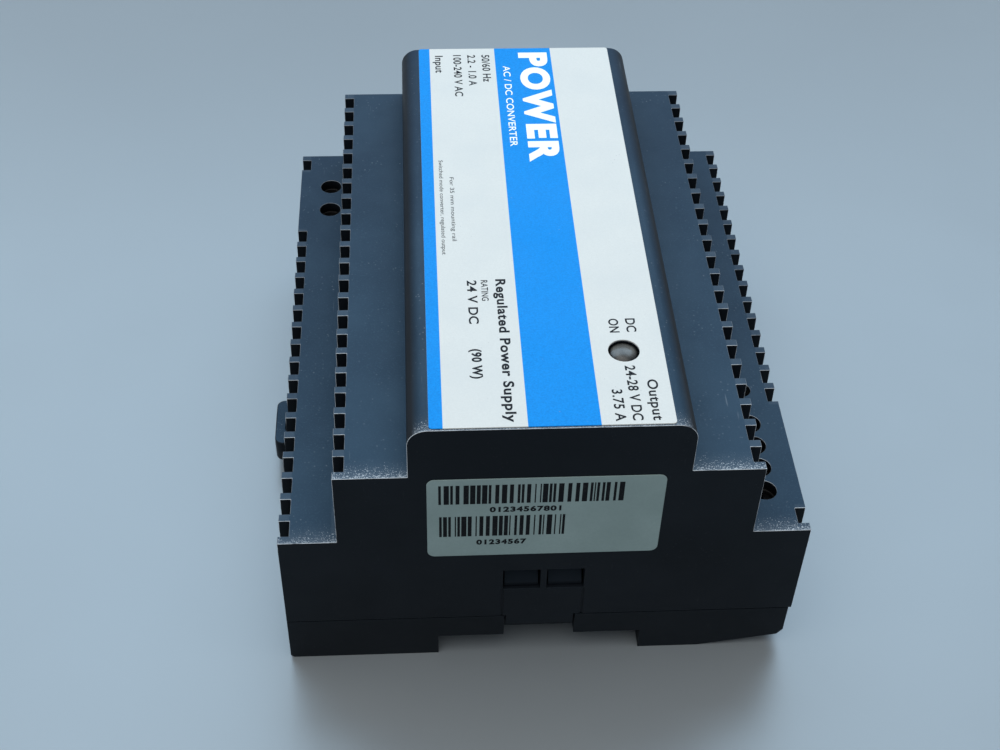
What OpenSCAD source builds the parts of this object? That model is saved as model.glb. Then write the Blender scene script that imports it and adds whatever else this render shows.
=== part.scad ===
// DIN-rail power supply, six modules wide, in a stepped two-part plastic enclosure.
// X runs across the rail, Y along the rail, Z away from the rail.
// The origin is the middle of the rail slot, on the plane of the back face.

/* [Enclosure] */
// Overall width across the rail
body_w = 90; // [88:1:92]
// Length along the rail, six 18 mm modules
body_l = 108; // [106:1:110]
// Height of the low outer decks
low_z = 32.2; // [32:0.1:33]
// Width over the middle decks
mid_w = 70.2; // [69:0.1:71]
// Height of the middle decks
mid_z = 48; // [47:0.1:49]
// Width of the front block
top_w = 46; // [45:0.1:47]
// Height of the front block
top_z = 58.7; // [58:0.1:60]
// Radius of the front block's long edges
top_r = 3.3; // [2.5:0.1:4]
// Wall thickness of both shells
wall = 2; // [1.8:0.1:2.2]
// Height of the joint between base and upper case
seam_z = 10.6; // [10.4:0.1:10.8]

/* [Vents] */
// Distance from slot to slot
slot_pitch = 4.833; // [4.7:0.01:4.9]
// Width of a slot along the rail
slot_w = 3.33; // [3:0.05:3.5]
// How far a slot reaches in from the outer wall
slot_in = 1.9; // [1.5:0.1:1.95]
// Depth of the slots in the middle walls
mid_slot_h = 12; // [8:0.5:13]
// Depth of the slots in the low walls
low_slot_h = 17.5; // [12:0.5:18]

/* [Rail] */
// Distance from the middle of the rail slot to the latch side wall
recess_left = 18.3; // [18:0.1:18.5]
// Distance from the middle of the rail slot to the hook side wall
recess_right = 18.1; // [18:0.1:18.5]
// Depth of the rail slot
recess_h = 5; // [4.8:0.1:5.2]
// How far the hooks and the latch reach under the rail
hook_reach = 2; // [1.5:0.1:2.2]
// How far the latch pulls out
latch_travel = 3; // [2:0.5:3]

/* [Terminals] */
// Distance between the two input screws
input_pitch = 7.75; // [7.6:0.05:7.8]
// Distance between neighbouring output screws
output_pitch = 5.3; // [5.2:0.05:5.4]
// Distance of the screws from the middle of the rail slot
screw_x = 38.6; // [38.4:0.1:38.8]
// Radius of the screwdriver holes in the case
driver_r = 2.15; // [2:0.05:2.2]
// Radius of the wire entries
wire_r = 2.1; // [2:0.05:2.1]

/* [Hidden] */

$fn = 48;
eps = 0.5;
half_w = body_w / 2;
half_l = body_l / 2;
half_mid = mid_w / 2;
half_top = top_w / 2;

// Seam and snap joint
seam_gap = 0.2;
base_top = seam_z - seam_gap;
base_inset = 0.5;
edge_cut = 0.6;
slope_x = 29;
slope_z = 2.6;
hook_y = 27;
hook_w = 15;
hook_z = 1;
hook_t = 2.6;
rim_w = 1.2;
rim_gap = 0.2;
rim_top = 12.2;
tongue_x = -0.3;
tongue_w = 12;
tongue_z = 8.1;
notch_w = 12.6;
window_w = 6.5;
window_x = 3.8;
window_z = 18.2;
window_h = 5.2;
finger_gap = 0.3;
finger_t = 1.5;
nose_out = 1.6;
nose_h = 4;
groove = 0.4;

// Vent rows: which slots are missing beside the terminals
slot_count = 22;
left_gap = [17, 20];
right_gap = [1, 5];

// Board and its fixing
board_z = 12.6;
board_t = 1.6;
board_top = board_z + board_t;
sheet_t = 0.3;
board_half_w = 42.5;
board_half_l = 51;
post_x = 29;
post_y = 46;
post_r = 3;
screw_shank_r = 1.4;
board_head_r = 2.8;
board_head_h = 1.8;
board_slot = [3.2, 0.7, 1];
board_screw_l = 7.5;
pilot_r = 1.45;
board_hole_r = 1.6;
floor_t = 2;
sheet_half_l = 49;
end_cut = 4 * window_x + 2;
end_cut_l = 2.4;

// Terminals, screw and clamp heights
input_y = 39.175;
output_y = -36.9;
block_half_x = 4.1;
block_top = 30;
cavity_z = board_top + 1;
cavity_top = 26.6;
cavity_half_x = 2.9;
shoulder_z = 27.5;
clamp_half_x = 2.7;
clamp_z = 15.3;
clamp_h = 8;
clamp_wall = 0.7;
clamp_head = 1.6;
input_half_y = 2.7;
output_half_y = 2;
clamp_gap = 0.2;
wire_z = 18.1;
bar_z = 20.2;
bar_t = 0.8;
shank_r = 1.5;
small_shank_r = 1.2;
shank_tip = 21.3;
head_z = 27.6;
head_h = 1.8;
well_r = driver_r - 0.2;
head_r = well_r - 0.15;
block_end = 1.4;
driver_slot = [2.7, 0.6, 1];
thread_gap = 0.05;
pass_gap = 0.12;

// Trim potentiometer and light
trim_y = -20.3;
trim_hole_r = 1.75;
trim_half = 4;
trim_body_h = 6;
trim_shaft_r = 1.6;
trim_top = 29.3;
trim_foot = board_top + 1.1;
led_x = 12.8;
led_y = -37.05;
led_r = 2.45;
led_rim_r = led_r + 0.4;
led_h = 5.8;
led_dome_h = 0.75;
led_dome_r = (led_r * led_r + led_dome_h * led_dome_h) / (2 * led_dome_h);
lead_x = 1.27;
lead_r = 0.3;
led_hole_r = 2.6;
led_base = 52.4;
label_t = 0.2;
label_w = 38.9;
label_x = -0.05;
label_y = 0.1;
sticker = [39, 19.3, 0.15];
sticker_r = 1.3;
sticker_x = -0.5;
sticker_z = 37.65;

// Latch: plate under the base, lip under the rail, tab outside
latch_half = 7.8;
latch_z = 1;
latch_plate_h = 3.8;
lip_h = 2.6;
tab_in = -45.4;
tab_out = -49.8;
tab_half = 6;
tab_y = -2.5;
tab_z = 3;
tab_h = 5;
tab_r = 1.6;
tab_floor = 1.4;
tab_slot_x = 0.7;
tab_slot_w = 1.6;
tab_slot_l = 5;
channel_gap = 0.3;
channel_top = 5.1;
channel_roof = 1.4;
keeper_h = 0.7;
keeper_w = 1.8;
spring_start = -37.9;
spring_end = spring_start + 4 * latch_travel - 0.2;
spring_r = 1.45;
spring_wire = 0.3;
coil_length = spring_end - spring_start - 2 * spring_wire;
spring_z = 2.9;
spring_turns = 7;
spring_stop = 2.4;
spring_bay = 2.8;

// ---------------------------------------------------------------- shared shapes

function terminal_y(middle, pitch, count, i) = middle + pitch * (i - (count - 1) / 2);
function slot_y(i) = slot_pitch * (i - (slot_count - 1) / 2);
function inside(i, gap) = i >= gap[0] && i <= gap[1];

// Outline across the rail of the stepped case, set in by t on every side
module case_outline(t) {
    r = top_r - t;
    difference() {
        union() {
            translate([-half_w + t, 0]) square([body_w - 2 * t, low_z - t]);
            translate([-half_mid + t, 0]) square([mid_w - 2 * t, mid_z - t]);
            translate([-half_top + t, 0]) square([top_w - 2 * t, top_z - t]);
        }
        for (side = [-1, 1]) translate([side * (half_top - top_r), top_z - top_r]) difference() {
            translate([side > 0 ? 0 : -top_r, 0]) square([top_r, top_r]);
            circle(r);
        }
    }
}

// Shape drawn across the rail and run along it for a length
module along_rail(length) {
    translate([0, length / 2, 0]) rotate([90, 0, 0]) linear_extrude(length) children();
}

// Box given by its lowest and highest corners
module span(low, high) {
    translate(low) cube(high - low);
}

module tube(r, bore, h) {
    difference() {
        cylinder(r = r, h = h);
        translate([0, 0, -eps]) cylinder(r = bore, h = h + 2 * eps);
    }
}

module round_plate(w, l, h, r) {
    translate([0, 0, h / 2]) union() {
        cube([w - 2 * r, l, h], center = true);
        cube([w, l - 2 * r, h], center = true);
        for (x = [-1, 1], y = [-1, 1])
            translate([x * (w / 2 - r), y * (l / 2 - r), 0]) cylinder(r = r, h = h, center = true);
    }
}

// ---------------------------------------------------------------- enclosure

module vent_row(side, wall_x, top, depth, gap) {
    for (i = [0 : slot_count - 1]) if (!inside(i, gap))
        translate([side * (wall_x - slot_in / 2 + eps / 2), slot_y(i), top - depth / 2 + eps / 2])
            cube([slot_in + eps, slot_w, depth + eps], center = true);
}

module end_windows(end) {
    for (side = [-1, 1])
        translate([side * window_x, end * (half_l - wall / 2), window_z + window_h / 2])
            cube([window_w, wall + 2 * eps, window_h], center = true);
}

module end_grooves(end) {
    for (side = [-1, 1])
        translate([side * (window_x + window_w / 2), end * half_l, (seam_z + window_z) / 2])
            cube([groove, groove, window_z - seam_z + eps], center = true);
}

module end_tongue(end) {
    translate([tongue_x, end * (half_l - wall / 2), (tongue_z + window_z) / 2])
        cube([tongue_w, wall, window_z - tongue_z], center = true);
}

module upper_case() color([0.075, 0.085, 0.105]) difference() {
    union() {
        intersection() {
            difference() {
                along_rail(body_l) case_outline(0);
                along_rail(body_l - 2 * wall) case_outline(wall);
            }
            span([-half_w - eps, -half_l - eps, seam_z], [half_w + eps, half_l + eps, top_z + eps]);
        }
        for (end = [-1, 1]) end_tongue(end);
    }
    vent_row(-1, half_mid, mid_z, mid_slot_h, [-1, -1]);
    vent_row(1, half_mid, mid_z, mid_slot_h, [-1, -1]);
    vent_row(-1, half_w, low_z, low_slot_h, left_gap);
    vent_row(1, half_w, low_z, low_slot_h, right_gap);
    for (end = [-1, 1]) {
        end_windows(end);
        end_grooves(end);
    }
    for (i = [0 : 1]) terminal_openings(-1, terminal_y(input_y, input_pitch, 2, i));
    for (i = [0 : 3]) terminal_openings(1, terminal_y(output_y, output_pitch, 4, i));
    translate([screw_x, trim_y, low_z - wall - eps]) cylinder(r = trim_hole_r, h = wall + 2 * eps);
    translate([led_x, led_y, top_z - wall - eps]) cylinder(r = led_hole_r, h = wall + 2 * eps);
}

// Screwdriver hole from the front and wire entry from the side
module terminal_openings(side, y) {
    translate([side * screw_x, y, low_z - wall - eps]) cylinder(r = driver_r, h = wall + 2 * eps);
    translate([side * (half_w - wall / 2), y, wire_z]) rotate([0, 90, 0])
        cylinder(r = wire_r, h = wall + 2 * eps, center = true);
}

module base_outline() {
    polygon([[-half_w, edge_cut], [-half_w + edge_cut, 0], [-recess_left, 0], [-recess_left, recess_h],
        [recess_right, recess_h], [recess_right, 0], [slope_x, 0], [half_w - 1.5, slope_z],
        [half_w - base_inset, slope_z + 1.4], [half_w - base_inset, base_top], [-half_w, base_top]]);
}

module base_hollow_outline() {
    over_rail = recess_h + wall;
    polygon([[-half_w + wall, floor_t], [-recess_left - wall, floor_t], [-recess_left - wall, over_rail],
        [recess_right + wall, over_rail], [recess_right + wall, floor_t], [slope_x - 0.5, floor_t],
        [half_w - base_inset - wall, slope_z + 2.2], [half_w - base_inset - wall, seam_z],
        [-half_w + wall, seam_z]]);
}

// Raised rim that lines up the upper case over the base
module base_rim() {
    x0 = -half_w + wall + rim_gap;
    x1 = half_w - base_inset - wall - rim_gap;
    y1 = half_l - wall - rim_gap;
    foot = rim_gap + 0.3;
    difference() {
        union() {
            span([x0, -y1, base_top - rim_w], [x1, y1, rim_top]);
            span([x0 - foot, -y1 - foot, base_top - rim_w], [x1 + foot, y1 + foot, base_top]);
        }
        span([x0 + rim_w, -y1 + rim_w, 0], [x1 - rim_w, y1 - rim_w, rim_top + eps]);
        for (end = [-1, 1]) translate([0, end * y1, rim_top])
            cube([end_cut, 3 * rim_w, 2 * rim_top], center = true);
    }
}

// Snap finger whose nose stands in a window of the upper case
module snap_finger(side, end) {
    w = window_w - 2 * finger_gap;
    root = half_l - wall - rim_gap - finger_t;
    nose_z = window_z + finger_gap;
    translate([side * window_x, 0, 0]) {
        translate([-w / 2, end > 0 ? root : -root - finger_t, recess_h + 1])
            cube([w, finger_t, window_z + window_h - recess_h - 1]);
        translate([0, end * (root + finger_t), nose_z]) scale([1, end, 1]) rotate([90, 0, 90])
            translate([0, 0, -w / 2]) linear_extrude(w)
                polygon([[-eps, 0], [nose_out, 0], [nose_out, nose_out / 2], [-eps, nose_h]]);
    }
}

module board_post(x, y) {
    translate([x, y, 1]) cylinder(r = post_r, h = board_z - sheet_t - 1);
}

// Channel for the latch: walls and roof over it inside the base
module latch_housing() {
    half = latch_half + channel_gap + rim_w;
    span([-half_w, -half, 0], [-recess_left, half, channel_top + channel_roof]);
}

module latch_channel() {
    half = latch_half + channel_gap;
    span([-half_w - eps, -half, keeper_h], [-recess_left + eps, half, channel_top]);
    span([-half_w - eps, -half + keeper_w, -eps], [-recess_left + eps, half - keeper_w, keeper_h + eps]);
}

module rail_hook(y) {
    translate([recess_right, y, 0]) rotate([90, 0, 0]) linear_extrude(hook_w, center = true)
        polygon([[eps, hook_z], [-hook_reach + edge_cut, hook_z], [-hook_reach, hook_z + edge_cut],
            [-hook_reach, hook_z + hook_t - 0.3], [-hook_reach + 0.3, hook_z + hook_t],
            [eps, hook_z + hook_t]]);
}

module base() color([0.07, 0.078, 0.095]) difference() {
    union() {
        difference() {
            along_rail(body_l) base_outline();
            along_rail(body_l - 2 * wall) base_hollow_outline();
        }
        base_rim();
        latch_housing();
        for (x = [-post_x, post_x], y = [-post_y, post_y]) board_post(x, y);
        for (side = [-1, 1], end = [-1, 1]) snap_finger(side, end);
        for (y = [-hook_y, hook_y]) rail_hook(y);
    }
    difference() {
        latch_channel();
        span([spring_start - 1.6, -spring_stop, spring_stop - 0.8],
            [spring_start - 0.1, spring_stop, channel_top + eps]);
    }
    for (end = [-1, 1]) translate([tongue_x, end * half_l, (recess_h + seam_z) / 2])
        cube([notch_w, 2 * wall, seam_z - recess_h + eps], center = true);
    for (x = [-post_x, post_x], y = [-post_y, post_y])
        translate([x, y, floor_t + 2]) cylinder(r = pilot_r, h = board_z);
}

module front_label() color([0.86, 0.89, 0.92]) difference() {
    translate([label_x, label_y, top_z]) round_plate(label_w, body_l - 0.4, label_t, 0.6);
    translate([led_x, led_y, top_z - eps]) cylinder(r = led_hole_r, h = 2 * eps);
}

module serial_label() color([0.80, 0.82, 0.83])
    translate([sticker_x, -half_l, sticker_z]) rotate([90, 0, 0])
        round_plate(sticker[0], sticker[1], sticker[2], sticker_r);

// ---------------------------------------------------------------- rail latch

module din_latch() color([0.06, 0.066, 0.08]) difference() {
    union() {
        span([tab_in - 1.5, -latch_half, latch_z], [-recess_left - 0.3, latch_half, latch_z + latch_plate_h]);
        translate([-recess_left - 0.4, 0, latch_z]) rotate([90, 0, 0])
            linear_extrude(2 * latch_half, center = true)
                polygon([[0, 0], [1, 0], [hook_reach + 0.4, 1.6], [hook_reach + 0.4, lip_h], [0, lip_h]]);
        translate([(tab_in + tab_out) / 2, tab_y, tab_z]) difference() {
            round_plate(tab_in - tab_out, 2 * tab_half, tab_h, tab_r);
            translate([tab_slot_x, 0, tab_floor]) round_plate(tab_slot_w, tab_slot_l, tab_h, 0.4);
        }
        span([tab_in - 1.6, tab_y - tab_half, tab_z], [tab_in, tab_y + tab_half, tab_z + tab_h]);
    }
    span([spring_start - 2.1, -spring_bay, 0], [spring_end + 0.1, spring_bay, latch_z + latch_plate_h + eps]);
}

// Centre of spring coil number t, from 0 to spring_turns, and the ring of wire points around it
function coil_point(t) = [spring_start + spring_wire + t / spring_turns * coil_length,
    spring_r * cos(360 * t), spring_z + spring_r * sin(360 * t)];
function wire_point(t, a) = coil_point(t)
    + spring_wire * (cos(a) * [0, cos(360 * t), sin(360 * t)] + sin(a) * [1, 0, 0]);

module latch_spring() color([0.62, 0.63, 0.65]) {
    sides = 6;
    steps = 14 * spring_turns;
    points = [for (i = [0 : steps], j = [0 : sides - 1])
        wire_point(i * spring_turns / steps, 360 * j / sides)];
    walls = [for (i = [0 : steps - 1], j = [0 : sides - 1])
        [i * sides + j, i * sides + (j + 1) % sides, (i + 1) * sides + (j + 1) % sides, (i + 1) * sides + j]];
    start_cap = [for (j = [sides - 1 : -1 : 0]) j];
    end_cap = [for (j = [0 : sides - 1]) steps * sides + j];
    polyhedron(points, concat(walls, [start_cap, end_cap]));
}

// ---------------------------------------------------------------- board and fixing

module main_board() color([0.08, 0.30, 0.16]) difference() {
    span([-board_half_w, -board_half_l, board_z], [board_half_w - base_inset, board_half_l, board_top]);
    for (end = [-1, 1]) translate([0, end * board_half_l, board_z])
        cube([end_cut, end_cut_l, 4 * board_t], center = true);
    for (x = [-post_x, post_x], y = [-post_y, post_y])
        translate([x, y, board_z - eps]) cylinder(r = board_hole_r, h = board_t + 2 * eps);
}

module insulation_sheet() color([0.85, 0.85, 0.80]) difference() {
    span([-board_half_w + 2.5, -sheet_half_l, board_z - sheet_t], [board_half_w - 3, sheet_half_l, board_z]);
    for (x = [-post_x, post_x], y = [-post_y, post_y])
        translate([x, y, board_z - 1]) cylinder(r = board_hole_r, h = 2);
}

// Cross recess of a given length, width and depth in a head whose top is at a height
module cross_recess(slot, top)
    for (a = [0, 90]) rotate([0, 0, a]) translate([0, 0, top])
        cube([slot[0], slot[1], 2 * slot[2]], center = true);

module board_screw() {
    difference() {
        cylinder(r = board_head_r, h = board_head_h);
        cross_recess(board_slot, board_head_h);
    }
    translate([0, 0, -board_screw_l]) cylinder(r = screw_shank_r, h = board_screw_l + eps);
}

module board_screws() color([0.72, 0.72, 0.70])
    for (x = [-post_x, post_x], y = [-post_y, post_y]) translate([x, y, board_top]) board_screw();

// ---------------------------------------------------------------- terminals

module terminal_block(count, pitch, half_y) {
    end = (count - 1) * pitch / 2 + half_y + block_end;
    difference() {
        span([-block_half_x, -end, board_top], [block_half_x, end, block_top]);
        for (i = [0 : count - 1]) translate([0, pitch * (i - (count - 1) / 2), 0]) {
            span([-cavity_half_x, -half_y - clamp_gap, cavity_z],
                [cavity_half_x, half_y + clamp_gap, cavity_top]);
            translate([0, 0, shoulder_z]) cylinder(r = well_r, h = block_top - shoulder_z + eps);
            translate([0, 0, cavity_top - eps])
                cylinder(r = shank_r + pass_gap, h = shoulder_z - cavity_top + 2 * eps);
            translate([-block_half_x, 0, wire_z]) rotate([0, 90, 0])
                cylinder(r = wire_r, h = 3, center = true);
            span([cavity_half_x - eps, -half_y + clamp_wall + 0.1, bar_z - 0.1],
                [block_half_x + eps, half_y - clamp_wall - 0.1, bar_z + bar_t + 0.1]);
        }
    }
}

// Rising clamp: a cage around the wire with a tapped head
module clamp_cage(half_y, screw_r) {
    difference() {
        span([-clamp_half_x, -half_y, clamp_z], [clamp_half_x, half_y, clamp_z + clamp_h]);
        span([-clamp_half_x - eps, -half_y + clamp_wall, clamp_z + clamp_wall],
            [clamp_half_x + eps, half_y - clamp_wall, clamp_z + clamp_h - clamp_head]);
        translate([0, 0, clamp_z]) cylinder(r = screw_r + thread_gap, h = clamp_h + eps);
    }
}

module terminal_screw(screw_r) {
    translate([0, 0, shank_tip]) cylinder(r = screw_r, h = head_z - shank_tip + eps);
    translate([0, 0, head_z]) difference() {
        cylinder(r = head_r, h = head_h);
        cross_recess(driver_slot, head_h);
    }
}

// Contact bar through the cage, turned down to the board behind the block
module contact(half_y) {
    w = half_y - clamp_wall - 0.3;
    span([-clamp_half_x + 0.5, -w, bar_z], [block_half_x + 1, w, bar_z + bar_t]);
    span([block_half_x + 0.3, -w, board_top], [block_half_x + 1, w, bar_z + bar_t]);
}

// Puts a child at input screw i, its wire side towards the latch side
module at_input(i) translate([-screw_x, terminal_y(input_y, input_pitch, 2, i), 0]) children();

// Puts a child at output screw i, its wire side towards the hook side
module at_output(i) translate([screw_x, terminal_y(output_y, output_pitch, 4, i), 0])
    rotate([0, 0, 180]) children();

module input_terminal_block() color([0.05, 0.05, 0.055])
    translate([-screw_x, input_y, 0]) terminal_block(2, input_pitch, input_half_y);

module output_terminal_block() color([0.05, 0.05, 0.055])
    translate([screw_x, output_y, 0]) rotate([0, 0, 180]) terminal_block(4, output_pitch, output_half_y);

module input_screw_1() color([0.74, 0.74, 0.72]) at_input(0) terminal_screw(shank_r);
module input_screw_2() color([0.74, 0.74, 0.72]) at_input(1) terminal_screw(shank_r);
module output_screw_1() color([0.74, 0.74, 0.72]) at_output(0) terminal_screw(small_shank_r);
module output_screw_2() color([0.74, 0.74, 0.72]) at_output(1) terminal_screw(small_shank_r);
module output_screw_3() color([0.74, 0.74, 0.72]) at_output(2) terminal_screw(small_shank_r);
module output_screw_4() color([0.74, 0.74, 0.72]) at_output(3) terminal_screw(small_shank_r);

module input_clamp_1() color([0.78, 0.76, 0.70]) at_input(0) clamp_cage(input_half_y, shank_r);
module input_clamp_2() color([0.78, 0.76, 0.70]) at_input(1) clamp_cage(input_half_y, shank_r);
module output_clamp_1() color([0.78, 0.76, 0.70]) at_output(0) clamp_cage(output_half_y, small_shank_r);
module output_clamp_2() color([0.78, 0.76, 0.70]) at_output(1) clamp_cage(output_half_y, small_shank_r);
module output_clamp_3() color([0.78, 0.76, 0.70]) at_output(2) clamp_cage(output_half_y, small_shank_r);
module output_clamp_4() color([0.78, 0.76, 0.70]) at_output(3) clamp_cage(output_half_y, small_shank_r);

module input_contacts() color([0.80, 0.70, 0.52]) for (i = [0 : 1]) at_input(i) contact(input_half_y);
module output_contacts() color([0.80, 0.70, 0.52]) for (i = [0 : 3]) at_output(i) contact(output_half_y);

// ---------------------------------------------------------------- voltage trimmer and light

module trim_pot_body() color([0.10, 0.25, 0.60]) translate([screw_x, trim_y, board_top]) difference() {
    translate([-trim_half, -trim_half, 0]) cube([2 * trim_half, 2 * trim_half, trim_body_h]);
    translate([0, 0, 1]) cylinder(r = trim_shaft_r + thread_gap, h = trim_body_h);
}

module trim_pot_shaft() color([0.88, 0.87, 0.82]) translate([screw_x, trim_y, 0]) difference() {
    translate([0, 0, trim_foot]) cylinder(r = trim_shaft_r, h = trim_top - trim_foot);
    translate([0, 0, trim_top]) cube([trim_shaft_r * 1.625, 0.6, 2], center = true);
}

module led_lens() color([0.55, 0.57, 0.56]) translate([led_x, led_y, led_base]) {
    cylinder(r = led_rim_r, h = 1);
    cylinder(r = led_r, h = led_h);
    intersection() {
        translate([0, 0, led_h + led_dome_h - led_dome_r]) sphere(led_dome_r);
        cylinder(r = led_r, h = led_h + led_dome_h);
    }
}

module led_spacer() color([0.08, 0.08, 0.08]) translate([led_x, led_y, board_top]) difference() {
    cylinder(r = led_rim_r, h = led_base - board_top);
    for (x = [-lead_x, lead_x]) translate([x, 0, -eps]) cylinder(r = lead_r + 0.1, h = led_base);
}

module led_leads() color([0.75, 0.75, 0.73])
    for (x = [-lead_x, lead_x])
        translate([led_x + x, led_y, board_top]) cylinder(r = lead_r, h = led_base - board_top);

// ---------------------------------------------------------------- input side components

fuse_x = -28;
fuse_y = 30;
fuse_z = board_top + 4.4;
fuse_l = 20;
glass_r = 2.3;
cap_r = 2.6;
cap_l = 5;
clip_size = [6.4, 4, 6.4];
clip_mouth = 3.6;

module fuse_tube() color([0.80, 0.85, 0.85]) translate([fuse_x, fuse_y, fuse_z]) rotate([90, 0, 0])
    cylinder(r = glass_r, h = fuse_l - 1.4, center = true);

module fuse_caps() color([0.78, 0.78, 0.76])
    for (end = [-1, 1]) translate([fuse_x, fuse_y + end * (fuse_l - cap_l) / 2, fuse_z]) rotate([90, 0, 0])
        difference() {
            cylinder(r = cap_r, h = cap_l, center = true);
            translate([0, 0, end * 0.6]) cylinder(r = glass_r + 0.02, h = cap_l, center = true);
        }

module fuse_clips() color([0.82, 0.78, 0.62])
    for (end = [-1, 1]) translate([fuse_x, fuse_y + end * (fuse_l - cap_l) / 2, board_top]) difference() {
        translate([-clip_size[0] / 2, -clip_size[1] / 2, 0]) cube(clip_size);
        translate([0, 0, fuse_z - board_top]) rotate([90, 0, 0])
            cylinder(r = cap_r + 0.05, h = 6, center = true);
        translate([-clip_mouth / 2, -3, fuse_z - board_top]) cube([clip_mouth, 6, 6]);
    }

// Place on the board, then radius and thickness, of each disc component
varistor_at = [-28, 12];
varistor_size = [6, 4.5];
thermistor_at = [4, 42];
thermistor_size = [7, 5];
y_capacitor_at = [-24, -31];
y_capacitor_size = [4.5, 3.5];

// Disc component standing on its edge
module disc(at, size) translate([at[0], at[1], board_top + size[0]]) rotate([0, 90, 0])
    cylinder(r = size[0], h = size[1], center = true);

module varistor() color([0.10, 0.30, 0.62]) disc(varistor_at, varistor_size);
module inrush_thermistor() color([0.16, 0.24, 0.17]) disc(thermistor_at, thermistor_size);
module y_capacitor() color([0.12, 0.36, 0.70]) disc(y_capacitor_at, y_capacitor_size);

// Box component with its low corner at a place on the board
module box_part(at, size) translate([at[0], at[1], board_top]) cube(size);

x_capacitor_at = [-23, 38];
x_capacitor_size = [18, 8, 14];

module x_capacitor() color([0.85, 0.70, 0.12]) box_part(x_capacitor_at, x_capacitor_size);

choke_x = -12;
choke_y = 25;
choke_z = board_top + 7;
choke_out = 10;
choke_in = 5.5;
choke_h = 8;
wrap = 1.2;
choke_wound = [20, 160];

// Part of a ring from one angle to another, lying flat
module ring(r_in, r_out, h, from, to) rotate([0, 0, from]) rotate_extrude(angle = to - from)
    translate([r_in, -h / 2]) square([r_out - r_in, h]);

// Winding wrapped around part of a ring core
module ring_winding(r_in, r_out, h, t, from, to) difference() {
    ring(r_in - t, r_out + t, h + 2 * t, from, to);
    ring(r_in - 0.05, r_out + 0.05, h + 0.1, from - 5, to + 5);
}

module choke_core() color([0.22, 0.24, 0.24]) translate([choke_x, choke_y, choke_z])
    tube_centred(choke_out, choke_in, choke_h);

module tube_centred(r, bore, h) translate([0, 0, -h / 2]) tube(r, bore, h);

module choke_windings() color([0.66, 0.34, 0.14]) translate([choke_x, choke_y, choke_z])
    for (side = [0, 180])
        ring_winding(choke_in, choke_out, choke_h, wrap, side + choke_wound[0], side + choke_wound[1]);

module choke_base() color([0.09, 0.09, 0.09]) translate([choke_x, choke_y, board_top])
    cylinder(r = choke_out + wrap, h = choke_z - choke_h / 2 - wrap - board_top);

bridge_at = [0, 30, board_top + 2];
bridge_size = [19, 3.5, 13];
bridge_hole_z = 7;
bulk_at = [9.5, 14.5];
bulk_r = 11;
bulk_h = 36;

module bridge_rectifier() color([0.07, 0.07, 0.07]) translate(bridge_at) difference() {
    cube(bridge_size);
    translate([bridge_size[0] / 2, 0, bridge_hole_z]) rotate([90, 0, 0])
        cylinder(r = device_hole_r, h = 10, center = true);
}

module bulk_capacitor() color([0.10, 0.12, 0.16]) translate([bulk_at[0], bulk_at[1], board_top])
    cylinder(r = bulk_r, h = bulk_h);

// ---------------------------------------------------------------- power stage

sink_x = 30;
sink_t = 2;
fin_out = 32.6;
fin_w = 2;
sink_z = 44;
primary_sink = [-26, 6];
secondary_sink = [-8, 32];
device_z = 30;
device_half = 5;
device_face = sink_x - sink_t / 2;
device_t = 4.4;
tab_t = 1.3;
hole_z = device_z + 5;
device_hole_r = 1.6;
device_lead = 0.6;
transistor_y = -10;
diode_y = 12;

// Box between two heights whose faces lie at distances x0 and x1 from the middle, on one side
module side_span(side, x0, x1, y0, y1, z0, z1)
    span([side > 0 ? x0 : -x1, y0, z0], [side > 0 ? x1 : -x0, y1, z1]);

module heatsink(side, along) difference() {
    union() {
        side_span(side, device_face, sink_x + sink_t / 2, along[0], along[1], board_top, sink_z);
        for (i = [0 : 3]) {
            y = along[0] + i * (along[1] - along[0] - fin_w) / 3;
            side_span(side, sink_x, fin_out, y, y + fin_w, board_top + 4, sink_z);
        }
    }
    translate([side * sink_x, (along[0] + along[1]) / 2, hole_z]) rotate([0, 90, 0])
        cylinder(r = device_hole_r - 0.05, h = 8, center = true);
}

module power_device(side, y) translate([0, y, 0]) difference() {
    union() {
        side_span(side, device_face - device_t, device_face, -device_half, device_half,
            device_z - 8, device_z + 1.5);
        side_span(side, device_face - tab_t, device_face, -device_half, device_half,
            device_z + 1, device_z + 8);
        for (lead = [-2.5, 0, 2.5])
            side_span(side, device_face - 3, device_face - 3 + device_lead, lead - 0.4, lead + 0.4,
                board_top, device_z - 7.5);
    }
    translate([side * sink_x, 0, hole_z]) rotate([0, 90, 0])
        cylinder(r = device_hole_r, h = 12, center = true);
}

module primary_heatsink() color([0.70, 0.71, 0.72]) heatsink(-1, primary_sink);
module power_transistor() color([0.07, 0.07, 0.07]) power_device(-1, transistor_y);
module secondary_heatsink() color([0.70, 0.71, 0.72]) heatsink(1, secondary_sink);
module output_diode() color([0.07, 0.07, 0.07]) power_device(1, diode_y);

module device_screw(side, y)
    translate([side * (device_face - tab_t - 0.1), y, hole_z]) rotate([0, -side * 90, 0]) {
    translate([0, 0, -4.5]) cylinder(r = 1.45, h = 5);
    cylinder(r = 2.7, h = 2);
}

module device_screws() color([0.74, 0.74, 0.72]) {
    device_screw(-1, transistor_y);
    device_screw(1, diode_y);
}

core_x = -4.5;
core_y = -13;
core_half_x = 16;
core_half_y = 5.5;
core_z = board_top + 2;
core_h = 31;
leg_w = 5;
leg_r = 5.4;
bobbin_r = 6.6;
winding_r = 10.4;
flange_t = 1.2;

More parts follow.
